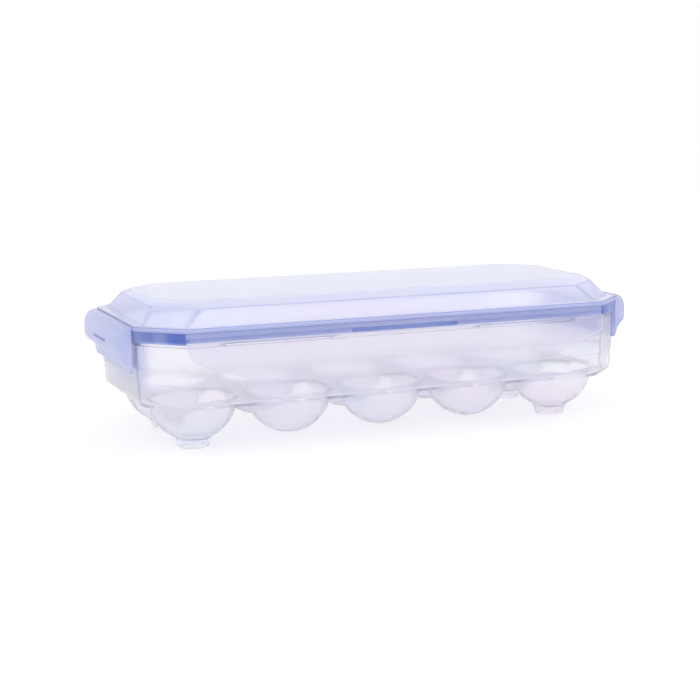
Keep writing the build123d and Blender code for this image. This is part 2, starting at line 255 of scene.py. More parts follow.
class KeeperColours(bpy.types.PropertyGroup):
    """Colours and clearness of the plastics and the seal."""

    tub_tint: colour((0.925, 0.945, 0.972), "Tub tint", "Surface colour of the frosted tub")
    tub_pink: colour((0.962, 0.928, 0.955), "Warm tint", "Faint warm drift in the tub's plastic")
    # painted shade: the end flaps get a darker, shaded copy of the flap plastic's tint
    end_flap_shade_tint: colour((0.74, 0.74, 0.90), "End flap tint", "Surface colour of the milky end flaps")
    end_flap_shade_cool: colour((0.66, 0.71, 0.92), "End flap cool tint", "Faint cool drift in the end flaps' plastic")
    flap_tint: colour((0.915, 0.885, 0.925), "Flap tint", "Surface colour of the long flaps")
    flap_pale: colour((0.885, 0.890, 0.945), "Flap cool tint", "Faint cool drift in the long flaps' plastic")
    tub_body: colour((0.40, 0.45, 1.0), "Tub depth", "Colour that thick plastic takes on")
    lid_tint: colour((0.890, 0.868, 0.968), "Lid tint", "Surface colour of the clearer lid")
    lid_cool: colour((0.865, 0.900, 0.990), "Cool tint", "Faint cool drift in the lid's plastic")
    lid_body: colour((0.36, 0.42, 1.0), "Lid depth", "Colour that the thick rim takes on")
    seal: colour((0.17, 0.23, 0.54), "Seal", "Blue silicone")
    seal_light: colour((0.23, 0.30, 0.63), "Seal light", "Where the silicone is stretched paler")
    # painted shade: the dark blue that the depth attribute paints as lines and shaded bands; the glint below
    # is the painted highlight
    edge: colour((0.14, 0.22, 0.62), "Edge", "Colour of the plastic's edges, where light runs along it")
    glint: colour((1.0, 1.0, 1.0), "Glint", "Colour of the plastic's edges that catch the light")
    bend: number(1.15, "Bend", "Refractive index of the plastics")
    tub_clearness: number(0.88, "Tub clearness", "Share of light that passes the frosted tub")
    lid_clearness: number(0.62, "Lid clearness", "Share of light that passes the lid")
    cap_clearness: number(0.55, "End flap clearness", "Share of light that passes the end flaps")
    tub_density: number(5.0, "Tub density", "How fast the tub's plastic colours light")
    lid_density: number(10.0, "Lid density", "How fast the lid's plastic colours light")
    frosted: number(0.24, "Frosted", "Roughness of the tub and the flaps")
    glossy: number(0.12, "Glossy", "Roughness of the lid")
    satin: number(0.19, "Satin", "Roughness of the hinge films")


class KeeperStage(bpy.types.PropertyGroup):
    """Camera, lamps and floor."""

    azimuth: angle(-21.345, "Azimuth", "Camera's direction round the box")
    elevation: angle(9.048, "Elevation", "Camera's angle above the table")
    roll: angle(-0.823, "Roll", "Camera's tilt about its own axis")
    distance: length(842.2 * MM, "Distance", "Camera to its aim")
    aim_height: length(37.5 * MM, "Aim height", "Height of the point that the camera looks at")
    focal: number(1577.5, "Focal length", "Camera's focal length in pixels of the frame")
    middle_x: number(9.94, "Middle right", "Pixels by which the picture's centre lies right of the aim")
    middle_y: number(0.39, "Middle down", "Pixels by which the picture's centre lies below the aim")
    floor_size: length(8.0, "Floor size", "Side of the floor")
    daylight: number(1.0, "Daylight", "Strength of the even light from all sides")
    floor_glow: number(0.6, "Floor glow", "Share of plain white in the floor, which thins the shadow")


def settings(part):
    """The property group that holds the sizes or colours of one part."""
    return getattr(bpy.context.scene, "keeper_" + part)


# ---------------------------------------------------------------- outline and loops

ARC = radians(45)  # turn of the outline at each of its eight angles
BEND = tan(ARC / 2)
CUT = 2 - sqrt(2)  # how much a corner's leg shrinks when the outline moves in by one
LEAST = 0.3 * MM  # smallest softening of an angle
EDGE = 0.15 * MM  # half the run of a crisp step
ACROSS = (1, 1, 4)  # stretch of the flow marks: level streaks on upright walls
ALONG = (1, 4, 1)  # streaks along the lid
FLEXED = (6, 1, 1)  # streaks across a bent film
WELD = 2e-6  # metres: points nearer than this are merged


def straight_half(half, base):
    """Half a side without its corner, which is alike for every inset of an outline of that base rounding."""
    return half - settings("outline").corner - base * BEND


def long_marks(base):
    """Places on the long side, from its end to its middle, as shares of its straight half."""
    tub, lid, flaps = settings("tub"), settings("lid"), settings("flaps")
    straight = straight_half(settings("outline").half_length, base)
    steps = [n * tub.cup_pitch_x + side * tub.pad_half for n in range(3) for side in (-1, 1)]
    steps += [flaps.slot_middle + side * tub.long_rib_half for side in (-1, 1)] + [lid.window_half]
    crisp = [place + side * EDGE for place in steps if place > 0 for side in (-1, 1)]
    plain = [0, 12 * MM, 19 * MM, 34 * MM, 50 * MM, 62 * MM, 68 * MM, 81 * MM, 87 * MM, 100 * MM]
    borders = [(n + 0.5) * tub.cup_pitch_x for n in range(2)]
    return np.unique(np.round([place / straight for place in crisp + plain + borders], 9))[::-1]


def short_marks(base):
    """Places on the short side, from its middle to its end, as shares of its straight half."""
    tub = settings("tub")
    straight = straight_half(settings("outline").half_width, base)
    crisp = [tub.end_rib_half - EDGE, tub.end_rib_half + EDGE]
    plain = [0, 7 * MM, 14 * MM, 26 * MM, 32 * MM]
    return np.unique(np.round([place / straight for place in crisp + plain], 9))


def quarter(half_x, half_y, corner, rounding, base):
    """A quarter of an outline, from the middle of its right side to the middle of its rear side.

    The outline is a rectangle with its corners cut off by corner. Each of its angles is an arc of the
    given rounding: centre + rounding * (cos t, sin t), with t over an eighth of a turn. base is the
    rounding at the rim itself, which places the stations.
    """
    bend = max(rounding, LEAST)
    end_x, end_y = half_x - corner - bend * BEND, half_y - corner - bend * BEND
    turn = np.linspace(0, ARC, 8)
    # the skirt's step at a corner falls on the second arc, so that arc has two stations beside it
    outline = settings("outline")
    step = outline.gap_end - straight_half(outline.half_length, base)
    at = np.arccos(step / (base - settings("lid").bead_relief))
    second = np.unique(np.concatenate([turn + ARC, [at - 0.02, at + 0.02]]))
    right = np.stack([half_x + 0 * short_marks(base), end_y * short_marks(base)], 1)
    lower = np.stack([half_x - bend + bend * np.cos(turn), end_y + bend * np.sin(turn)], 1)
    upper = np.stack([end_x + bend * np.cos(second), half_y - bend + bend * np.sin(second)], 1)
    share = np.linspace(0, 1, 8)[1:-1, None]
    cut = lower[-1] * (1 - share) + upper[0] * share
    rear = np.stack([end_x * long_marks(base), half_y + 0 * long_marks(base)], 1)
    return np.concatenate([right, lower, cut, upper, rear])


def whole(part):
    """Mirror a quarter of an outline into a closed loop, anticlockwise seen from above."""
    turns = [part, part[::-1] * (-1, 1), part * (-1, -1), part[::-1] * (1, -1)]
    return np.concatenate([points[:-1] for points in turns])


def at_height(points, z):
    """Lift plan points to a height, which may differ from station to station."""
    return np.column_stack([points, np.broadcast_to(z, len(points))])


def inset_quarter(inset, base):
    """A quarter of the rim's outline moved in by an inset, with its angles rounded by base less the inset."""
    o = settings("outline")
    return quarter(o.half_length - inset, o.half_width - inset, o.corner - inset * CUT, base - inset, base)


def rim_loop(inset, z):
    """The rim's outline moved in by an inset, at a height."""
    return at_height(whole(inset_quarter(inset, settings("outline").rounding)), z)


def tub_loop(inset, z):
    """The same outline for the tub, whose upright edges are rounder."""
    return at_height(whole(inset_quarter(inset, settings("tub").rounding)), z)


def soften(loops, softness, steps=5):
    """Round a profile's corners: each becomes (1-t)^2 A + 2t(1-t) C + t^2 B.

    C is the corner, and A and B lie before and after it at its softness, or half-way to the next corner.
    """
    t = np.linspace(0, 1, steps + 1)[:, None, None]
    done = [loops[0][None]]
    for before, corner, after, soft in zip(loops, loops[1:], loops[2:], softness):
        reach = [np.linalg.norm(other - corner, axis=1, keepdims=True) for other in (before, after)]
        start, end = (
            corner + (other - corner) * np.minimum(soft / far, 0.499)
            for other, far in zip((before, after), reach)
        )
        done.append((1 - t) ** 2 * start + 2 * t * (1 - t) * corner + t**2 * end)
    return np.concatenate([*done, loops[-1][None]])


def closed_profile(loops, softness):
    """Soften every corner of a profile that runs back to its start."""
    ring = soften([loops[-1], *loops, loops[0]], softness)
    return ring[1:-1]


def insert_levels(grid, heights, first, last):
    """Add loops at the given heights between two loops of a grid, on the straight line between loops."""
    for height in heights:
        levels = grid[first:last, :, 2].mean(1)
        below = first + int(np.searchsorted(levels, height)) - 1
        bottom, top = (grid[row, :, 2].mean() for row in (below, below + 1))
        share = (height - bottom) / (top - bottom)
        loop = grid[below] * (1 - share) + grid[below + 1] * share
        grid = np.concatenate([grid[: below + 1], loop[None], grid[below + 1 :]])
        last += 1
    return grid


# ---------------------------------------------------------------- meshes


def grid_faces(rows, columns, wrap_rows=False, wrap_columns=False, keep=None):
    """Quads of a grid as corner indices, wrapped round where asked, and only where keep is true."""
    r = np.arange(rows if wrap_rows else rows - 1)[:, None]
    c = np.arange(columns if wrap_columns else columns - 1)[None, :]
    next_r, next_c = (r + 1) % rows, (c + 1) % columns
    corners = [(r, c), (r, next_c), (next_r, next_c), (next_r, c)]
    quads = np.stack([a * columns + b for a, b in corners], -1)
    return (quads if keep is None else quads[keep]).reshape(-1, 4)


class Surface:
    """Grids gathered into one mesh."""

    def __init__(self):
        self.points, self.quads, self.depths, self.count = [], [], [], 0

    def add(self, grid, wrap_rows=False, wrap_columns=False, keep=None, flip=False, depth=0.0):
        """Add a grid of points, rows by columns by three, turned inside out where flip is true.

        depth is painted shade and highlight: how much of the edge colour, a painted shade, shows at each
        point, from 0 to 1, or of the glint, a painted highlight, from 0 to -1.
        """
        quads = grid_faces(grid.shape[0], grid.shape[1], wrap_rows, wrap_columns, keep) + self.count
        self.points.append(grid.reshape(-1, 3))
        self.depths.append(np.broadcast_to(depth, grid.shape[:2]).ravel())
        self.quads.append(quads[:, ::-1] if flip else quads)
        self.count += grid.shape[0] * grid.shape[1]

    def piece(self, name, closed=True):
        """Make the object, with points that lie together merged. A closed surface may have no open edge."""
        points, quads = np.concatenate(self.points), np.concatenate(self.quads)
        mesh = bpy.data.meshes.new(name)
        mesh.vertices.add(len(points))
        mesh.vertices.foreach_set("co", points.astype(np.float32).ravel())
        mesh.loops.add(quads.size)
        mesh.loops.foreach_set("vertex_index", quads.astype(np.int32).ravel())
        mesh.polygons.add(len(quads))
        mesh.polygons.foreach_set("loop_start", np.arange(0, quads.size, 4, dtype=np.int32))
        mesh.update(calc_edges=True)
        # the depth attribute holds painted shade, and painted highlight where it is negative
        depth = mesh.attributes.new("depth", "FLOAT", "POINT")
        depth.data.foreach_set("value", np.concatenate(self.depths).astype(np.float32))
        tidy_mesh(mesh, closed)
        mesh.shade_smooth()
        obj = bpy.data.objects.new(name, mesh)
        bpy.context.scene.collection.objects.link(obj)
        return obj


def tidy_mesh(mesh, closed):
    """Merge doubled points, drop unused ones and make sure that a closed surface is closed."""
    shape = bmesh.new()
    shape.from_mesh(mesh)
    bmesh.ops.remove_doubles(shape, verts=shape.verts, dist=WELD)
    loose = [v for v in shape.verts if not v.link_faces]
    bmesh.ops.delete(shape, geom=loose, context="VERTS")
    torn = [e for e in shape.edges if not e.is_contiguous]
    shape.to_mesh(mesh)
    shape.free()
    if closed and torn:
        raise RuntimeError(f"{mesh.name} has {len(torn)} edges that don't join two faces turned alike")


def plate(loop):
    """Fill a loop with a grid: its rear stations are joined to their mirrors at the front by straight
    lines, which are shared out as the stations of the short side are.
    """
    short_side = short_marks(settings("outline").rounding)
    half, short = len(loop) // 2, len(short_side)
    rear = loop[short : half - short + 1]
    front = np.roll(loop[::-1], 1, axis=0)[short : half - short + 1]
    marks = np.append(short_side, 1)
    share = (1 - np.concatenate([marks[::-1], -marks[1:]])[:, None, None]) / 2
    return rear * (1 - share) + front * share


def place(obj, body, node, slot, material):
    """Put a piece on its body in place of its solid, with its material."""
    obj.data.materials.clear()
    obj.data.materials.append(material)
    flat_faces = obj.modifiers.new("Even shading", "WEIGHTED_NORMAL")
    flat_faces.keep_sharp = True
    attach(obj, body)
    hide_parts(node)


# ---------------------------------------------------------------- materials


def noise(tree, coordinates, scale, detail, stretch=(1, 1, 1)):
    """Noise over Object coordinates, with its scale in waves per metre."""
    mapping = tree.nodes.new("ShaderNodeMapping")
    mapping.inputs["Scale"].default_value = stretch
    tree.links.new(coordinates, mapping.inputs["Vector"])
    wave = tree.nodes.new("ShaderNodeTexNoise")
    wave.inputs["Scale"].default_value = scale
    wave.inputs["Detail"].default_value = detail
    tree.links.new(mapping.outputs["Vector"], wave.inputs["Vector"])
    return wave.outputs["Fac"]


def ranged(tree, source, low, high, spread=0.25):
    """Map the middle of a noise to a range of values."""
    scaled = tree.nodes.new("ShaderNodeMapRange")
    scaled.inputs["From Min"].default_value = 0.5 - spread
    scaled.inputs["From Max"].default_value = 0.5 + spread
    scaled.inputs["To Min"].default_value = low
    scaled.inputs["To Max"].default_value = high
    tree.links.new(source, scaled.inputs["Value"])
    return scaled.outputs["Result"]


def mixed(tree, share, first, second):
    """Mix two colours by a share."""
    mix = tree.nodes.new("ShaderNodeMix")
    mix.data_type = "RGBA"
    mix.inputs["A"].default_value = (*first, 1)
    mix.inputs["B"].default_value = (*second, 1)
    tree.links.new(share, mix.inputs["Factor"])
    return mix.outputs["Result"]


def bumped(tree, source, strength, distance):
    """A bump from a height."""
    bump = tree.nodes.new("ShaderNodeBump")
    bump.inputs["Strength"].default_value = strength
    bump.inputs["Distance"].default_value = distance
    tree.links.new(source, bump.inputs["Height"])
    return bump.outputs["Normal"]


def start_material(name):
    """A new material with its tree, its Principled node and Object coordinates."""
    material = bpy.data.materials.get(name) or bpy.data.materials.new(name)
    material.use_nodes = True
    tree = material.node_tree
    tree.nodes.clear()
    shader = tree.nodes.new("ShaderNodeBsdfPrincipled")
    output = tree.nodes.new("ShaderNodeOutputMaterial")
    tree.links.new(shader.outputs["BSDF"], output.inputs["Surface"])
    coordinates = tree.nodes.new("ShaderNodeTexCoord").outputs["Object"]
    return material, tree, shader, output, coordinates


def shared_mix(tree, share, first, second):
    """Mix a colour socket with a fixed colour by a share."""
    mix = tree.nodes.new("ShaderNodeMix")
    mix.data_type = "RGBA"
    mix.inputs["B"].default_value = (*second, 1)
    tree.links.new(share, mix.inputs["Factor"])
    tree.links.new(first, mix.inputs["A"])
    return mix.outputs["Result"]


def painted_shade_and_highlight(tree, colour_socket, deep, pale):
    """Paint shade and highlight into a colour: turn it to the dark edge colour by the surface's depth
    attribute, which holds painted shade, or to the pale glint colour, a painted highlight, where it is
    negative.
    """
    depth = tree.nodes.new("ShaderNodeAttribute")
    # depth is painted shade, and painted highlight where it is negative
    depth.attribute_name = "depth"
    turned = tree.nodes.new("ShaderNodeMath")
    turned.operation = "MULTIPLY"
    turned.inputs[1].default_value = -1
    tree.links.new(depth.outputs["Fac"], turned.inputs[0])
    paler = shared_mix(tree, turned.outputs["Value"], colour_socket, pale)
    return shared_mix(tree, depth.outputs["Fac"], paler, deep)


def plastic(name, tint, drift, depth, density, clearness, roughness, flow):
    """Moulded polypropylene: clear with a haze, a faint drift of colour, flow marks and a fine grain, with
    painted shade and painted highlight from the surface's depth attribute.
    """
    material, tree, shader, output, coordinates = start_material(name)
    broad = noise(tree, coordinates, 14, 2, (1, 2, 3))
    streaks = noise(tree, coordinates, 12, 2, flow)
    grain = noise(tree, coordinates, 1200, 2)
    surface_colour = mixed(tree, ranged(tree, broad, 0, 1, 0.2), tint, drift)
    colours = settings("colours")
    tree.links.new(
        painted_shade_and_highlight(tree, surface_colour, colours.edge, colours.glint), shader.inputs["Base Color"]
    )
    tree.links.new(
        ranged(tree, streaks, roughness * 0.9, roughness * 1.1), shader.inputs["Roughness"]
    )
    tree.links.new(bumped(tree, grain, 0.03, 0.1 * MM), shader.inputs["Normal"])
    shader.inputs["Transmission Weight"].default_value = clearness
    shader.inputs["IOR"].default_value = settings("colours").bend
    body = tree.nodes.new("ShaderNodeVolumeAbsorption")
    body.inputs["Color"].default_value = (*depth, 1)
    body.inputs["Density"].default_value = density
    tree.links.new(body.outputs["Volume"], output.inputs["Volume"])
    return material


def silicone():
    """Blue seal: a soft satin rubber, a little paler where it is thin, with a fine matt grain."""
    colours = settings("colours")
    material, tree, shader, _, coordinates = start_material("Blue silicone")
    broad = noise(tree, coordinates, 30, 3)
    grain = noise(tree, coordinates, 3000, 2)
    tree.links.new(
        mixed(tree, ranged(tree, broad, 0, 1), colours.seal, colours.seal_light), shader.inputs["Base Color"]
    )
    tree.links.new(ranged(tree, grain, 0.38, 0.52), shader.inputs["Roughness"])
    tree.links.new(bumped(tree, grain, 0.15, 0.05 * MM), shader.inputs["Normal"])
    return material


def tub_plastic():
    """Frosted plastic of the tub."""
    c = settings("colours")
    return plastic(
        "Frosted tub plastic",
        c.tub_tint,
        c.tub_pink,
        c.tub_body,
        c.tub_density,
        c.tub_clearness,
        c.frosted,
        ACROSS,
    )


def lid_plastic():
    """Clearer plastic of the lid."""
    c = settings("colours")
    return plastic(
        "Clear lid plastic",
        c.lid_tint,
        c.lid_cool,
        c.lid_body,
        c.lid_density,
        c.lid_clearness,
        c.glossy,
        ALONG,
    )


def flap_plastic():
    """Frosted plastic of the flaps, moulded with the lid."""
    c = settings("colours")
    return plastic(
        "Flap plastic",
        c.flap_tint,
        c.flap_pale,
        c.tub_body,
        c.tub_density,
        c.tub_clearness,
        c.frosted,
        ACROSS,
    )


def shaded_end_flap_plastic():
    """Milkier plastic of the deep end flaps, with a darker tint that is painted shade."""
    c = settings("colours")
    return plastic(
        "Shaded end flap plastic",
        c.end_flap_shade_tint,
        c.end_flap_shade_cool,
        c.tub_body,
        c.tub_density,
        c.cap_clearness,
        c.frosted,
        ACROSS,
    )


def film_plastic():
    """Thin flexed film of the living hinges."""
    c = settings("colours")
    return plastic(
        "Hinge film",
        c.lid_tint,
        c.lid_cool,
        c.lid_body,
        c.lid_density,
        c.tub_clearness,
        c.satin,
        FLEXED,
    )


# ---------------------------------------------------------------- tub


def cup_places(tub):
    """Columns of the cups' centres, right of the middle, and the rear row's distance from it."""
    return [n * tub.cup_pitch_x for n in range(3)], tub.cup_pitch_y / 2


def cell_borders(deck_quarter, tub):
    """Plan borders of the rear right cells, one round each cup, anticlockwise, which tile the deck.

    A cell is bounded by the middle line, by straight lines half-way between the cups and by the deck's
    outline, whose stations it shares.
    """
    half = tub.cup_pitch_x / 2
    rear_y = deck_quarter[-1, 1]
    edge = [float(deck_quarter[np.argmin(abs(deck_quarter[:, 0] - (2 * n + 1) * half)), 0]) for n in range(2)]
    rise = np.linspace(0, rear_y, 15)[:, None]
    column = [np.column_stack([x + 0 * rise, rise]) for x in edge]
    on_rear = deck_quarter[deck_quarter[:, 1] > rear_y - 1e-9]

    def base_line(start, stop):
        x = np.linspace(start, stop, 15)[:, None]
        return np.column_stack([x, 0 * x])

    middle = on_rear[on_rear[:, 0] < edge[0] - 1e-9]
    second = on_rear[(on_rear[:, 0] > edge[0] + 1e-9) & (on_rear[:, 0] < edge[1] - 1e-9)]
    outer = deck_quarter[(deck_quarter[:, 0] > edge[1] + 1e-9)]
    middle_rear = np.concatenate([middle, middle[-2::-1] * (-1, 1)])
    return [
        np.concatenate([
            base_line(-edge[0], edge[0])[:-1], column[0], middle_rear, (column[0] * (-1, 1))[:0:-1]
        ]),
        np.concatenate([base_line(edge[0], edge[1])[:-1], column[1], second, column[0][:0:-1]]),
        np.concatenate([base_line(edge[1], deck_quarter[0, 0])[:-1], outer, column[1][:0:-1]]),
    ]


def polar(border, centre, profile, z):
    """A cell from its border to its cup's pole: centre + r (cos a, sin a), at the border's own angles a."""
    away = border - centre
    along = away / np.linalg.norm(away, axis=1, keepdims=True)
    rings = [at_height(border, z)]
    rings += [at_height(centre + radius * along, height) for radius, height in profile]
    return np.array(rings)


def bowl_profile(radius, deck, brim):
    """Inside or outside of a cup from its brim to its pole, as radius and height.

    The brim is a quarter of an ellipse from the deck down to the sphere, and the rest is
    (R sin t, middle - R cos t), with t from the brim's foot to 0.
    """
    middle = settings("tub").deck
    foot = deck - brim
    start = np.arcsin(np.clip((middle - foot) / radius, -1, 1))
    rim = radius * cos(start)
    t = np.linspace(0, np.pi / 2, 6)
    brim_curve = np.column_stack([rim + brim * (1 - np.sin(t)), foot + brim * np.cos(t)])
    t = np.linspace(np.pi / 2 - start, 0, 22)[1:]
    sphere = np.column_stack([radius * np.sin(t), middle - radius * np.cos(t)])
    return np.concatenate([brim_curve, sphere])


def with_foot(profile):
    """Outside of a corner cup: the sphere as far as the foot, its cone, the ring and the sphere inside it."""
    tub = settings("tub")
    top = tub.foot_radius + tub.foot_flare
    middle, radius = tub.deck, tub.cup_radius

    def sphere_height(r):
        return middle - sqrt(radius**2 - r**2)

    upper = profile[profile[:, 0] > top + 0.3 * MM]
    inner = tub.foot_radius - tub.foot_wall
    inner_top = inner + 0.8 * tub.foot_flare
    soft = 0.35 * MM
    ring = np.array([
        (top, sphere_height(top)),
        (top - 0.25 * MM, sphere_height(top) - 0.7 * MM),
        (tub.foot_radius + 0.2 * MM, soft * 2),
        (tub.foot_radius, soft),
        (tub.foot_radius - soft, 0.0),
        (inner + soft, 0.0),
        (inner, soft),
        (inner_top, sphere_height(inner_top) - 0.2 * MM),
        (inner_top - 0.4 * MM, sphere_height(inner_top - 0.4 * MM)),
    ])
    t = np.linspace(ring[-1, 0], 0, 6)[1:]
    pole = np.column_stack([t, [sphere_height(r) for r in t]])
    return np.concatenate([upper, ring, pole])


def tub_wall():
    """The tub's wall: up its three outer bands, over the lip and down inside, as loops and stations."""
    t = settings("tub")
    deck_inset = t.top_inset + 2 * t.step + t.floor_rounding
    under = t.deck - t.wall
    low, mid, top = t.top_inset + 2 * t.step, t.top_inset + t.step, t.top_inset
    lip_in = t.lip_inset + t.lip_wall
    lip_top = base_high.z
    ceiling = t.shoulder - t.wall
    fine, soft = 0.2 * MM, 0.5 * MM
    inner_round = t.floor_rounding - t.wall
    corners = [
        (low, under, t.floor_rounding),
        (low, t.lower_step, fine),
        (mid, t.lower_step, fine),
        (mid, t.upper_step, fine),
        (top, t.upper_step, fine),
        (top, t.shoulder, soft),
        (t.lip_inset, t.shoulder, fine),
        (t.lip_inset, lip_top, soft),
        (lip_in, lip_top, soft),
        (lip_in, ceiling, fine),
        (top + t.wall, ceiling, fine),
        (top + t.wall, t.upper_step, fine),
        (mid + t.wall, t.upper_step, fine),
        (mid + t.wall, t.lower_step, fine),
        (low + t.wall, t.lower_step, fine),
        (low + t.wall, t.deck, inner_round),
    ]
    loops = [tub_loop(deck_inset, under)]
    loops += [tub_loop(inset, z) for inset, z, _ in corners]
    loops += [tub_loop(deck_inset, t.deck)]
    wall = soften(loops, [soft for _, _, soft in corners], steps=6)
    first, last = 0, 7 * 6 + 1  # loops of the outer face, up to the shoulder
    rib, end_rib, thin = t.long_rib_height, t.end_rib_height, t.rib_wall / 2
    heights = [t.pad_foot - EDGE / 2, t.pad_foot + EDGE / 2, t.pad_foot + t.pad_height]
    heights += [end_rib + side * thin + bit * EDGE / 2 for side in (-1, 1) for bit in (-1, 1)]
    heights += [rib - thin - EDGE / 2, rib - thin + EDGE / 2]
    wall = insert_levels(wall, heights, first, last)
    outer = np.arange(len(wall)) < last + len(heights)
    return raise_features(wall, outer)


def raise_features(wall, outer):
    """Push the outer face out where the wedge pads and the lock ribs stand.

    A wedge pad leaves the wall by depth * (top - z) / height, and a rib by its full reach.
    """
    t, flaps = settings("tub"), settings("flaps")
    x, y, z = wall[..., 0], wall[..., 1], wall[..., 2]
    rows = outer[:, None]
    body_y = settings("outline").half_width - t.top_inset
    body_x = settings("outline").half_length - t.top_inset
    on_long = rows & (abs(y) > body_y - 2.5 * MM)
    from_cup = abs((abs(x) + t.cup_pitch_x / 2) % t.cup_pitch_x - t.cup_pitch_x / 2)
    top = t.pad_foot + t.pad_height
    pad = on_long & (from_cup < t.pad_half) & (z > t.pad_foot) & (z < top)
    proud = t.pad_depth * (top - z) / t.pad_height
    wall_y = body_y - 2 * t.step
    y[pad] = np.sign(y[pad]) * (wall_y + proud[pad])
    rib_tip = flaps.long_hinge_y - flaps.wall / 2 - 0.3 * MM
    on_rib = abs(abs(x) - flaps.slot_middle) < t.long_rib_half
    rib = on_long & on_rib & (z > t.long_rib_height - t.rib_wall / 2) & (z < t.shoulder + EDGE)
    rib &= abs(y) > body_y - 0.8 * MM
    y[rib] = np.sign(y[rib]) * (rib_tip - (body_y - abs(y[rib])))
    end_tip = base_high.x
    on_end = rows & (abs(x) > body_x - 1 * MM) & (abs(y) < t.end_rib_half)
    end_rib = on_end & (abs(z - t.end_rib_height) < t.rib_wall / 2)
    x[end_rib] = np.sign(x[end_rib]) * end_tip
    return wall


def painted_end_shade(wall):
    """Painted shade in the end walls: the share of the edge colour, which rises with x over the corners and
    with z above the deck. The tips of the long lock ribs get a painted highlight instead, where they catch
    the light.
    """
    tub, outline = settings("tub"), settings("outline")
    past = abs(wall[..., 0]) - outline.half_length + tub.end_shade_run
    high = np.clip((wall[..., 2] - tub.deck) / (tub.upper_step - tub.deck), 0, 1)
    share = tub.painted_end_shade * np.clip(2 * past / tub.end_shade_run, 0, 1) * high
    rib_tip = abs(wall[..., 1]) > outline.half_width - tub.top_inset + EDGE
    return np.where(rib_tip & (wall[..., 2] > tub.upper_step), -1.0, share)


class KEEPER_OT_tub(bpy.types.Operator):
    """Make the frosted tub: stepped walls, lip, deck, ten cups, four ring feet, pads and lock ribs"""

    bl_idname = "mesh.keeper_tub"
    bl_label = "Tub"

    def execute(self, context):
        tub = settings("tub")
        wall = tub_wall()
        surface = Surface()
        # painted shade on the end walls and a painted highlight on the long ribs' tips
        surface.add(wall, wrap_columns=True, depth=painted_end_shade(wall))
        inset = tub.top_inset + 2 * tub.step + tub.floor_rounding
        deck_quarter = inset_quarter(inset, tub.rounding)
        columns, row = cup_places(tub)
        under = tub.deck - tub.wall
        inside = bowl_profile(tub.cup_radius - tub.cup_wall, tub.deck, tub.cup_brim)
        outside = bowl_profile(tub.cup_radius, under, tub.cup_brim)
        for border, x in zip(cell_borders(deck_quarter, tub), columns):
            centre = np.array([x, row])
            below = with_foot(outside) if x == columns[-1] else outside
            top, bottom = (
                polar(border, centre, profile, z) for profile, z in ((inside, tub.deck), (below, under))
            )
            for mirror_x in (1, -1) if x else (1,):
                for mirror_y in (1, -1):
                    turned = mirror_x * mirror_y < 0
                    by = (mirror_x, mirror_y, 1)
                    surface.add(top * by, wrap_columns=True, flip=turned)
                    surface.add(bottom * by, wrap_columns=True, flip=not turned)
        obj = surface.piece("base_shell")
        place(obj, "base", "base", "frosted_polypropylene", tub_plastic())
        return {"FINISHED"}


# ---------------------------------------------------------------- lid and seal


def dome_loop(run_x, run_y, corner, z, wall):
    """A loop of the dome, given by how far it lies inside the dome's foot, moved in and down by a wall."""
    lid, outline = settings("lid"), settings("outline")
    half_x = outline.half_length - lid.dome_inset - run_x - wall
    half_y = outline.half_width - lid.dome_inset - run_y - wall
    plan = quarter(half_x, half_y, corner - wall * CUT, lid.rounding, outline.rounding)
    return at_height(whole(plan), z - wall)


def skirt_edge():
    """Height of the skirt's lower edge at each station: low at the corners, higher over the long flaps."""
    lid, outline = settings("lid"), settings("outline")
    place_x = abs(rim_loop(lid.bead_relief, 0)[:, 0])
    over_flap = settings("flaps").long_hinge_z + 0.9 * MM
    edge = np.where(place_x < outline.gap_end, over_flap, lid_low.z)
    return np.where(place_x < lid.window_half, over_flap + lid.window_height, edge)


def corner_skirt_shade():
    """Painted shade in a corner's skirt: full beside the long flap, less at its middle, where a pale band is
    painted as a highlight, and less towards the end.

    share * (1 - glint exp(-((x - m) / w)^2)) * (1 - 0.3 (x - m) / run), with m the corner's middle.
    """
    lid, outline = settings("lid"), settings("outline")
    run = outline.half_length - outline.gap_end
    past = abs(rim_loop(0, 0)[:, 0]) - outline.gap_end - run / 2
    fade = 1 - 0.3 * np.clip(2 * past / run, 0, 1)
    return lid.corner_skirt_shade * (1 - lid.glint * np.exp(-((past / lid.glint_width) ** 2))) * fade


def flank_painted_shade():
    """Painted shade in the dome's flank, rising towards the ends, and a painted patch beside the long sides
    where the flank turns its corner, which stands for the seal seen bent through it.
    """
    lid, outline = settings("lid"), settings("outline")
    past = abs(rim_loop(0, 0)[:, 0]) - straight_half(outline.half_length, outline.rounding)
    patch = lid.flank_refraction_patch * np.exp(-(((past - 4 * MM) / (3 * MM)) ** 2))
    return np.maximum(patch, lid.flank_painted_shade * np.clip(past / (15 * MM), 0, 1))


def turn_at(loop, softness, line=0.0, face=0.0):
    """A corner of a profile: its loop, its softening and the share of painted shade, in the edge colour,
    along it and after it.
    """
    return loop, softness, line, face


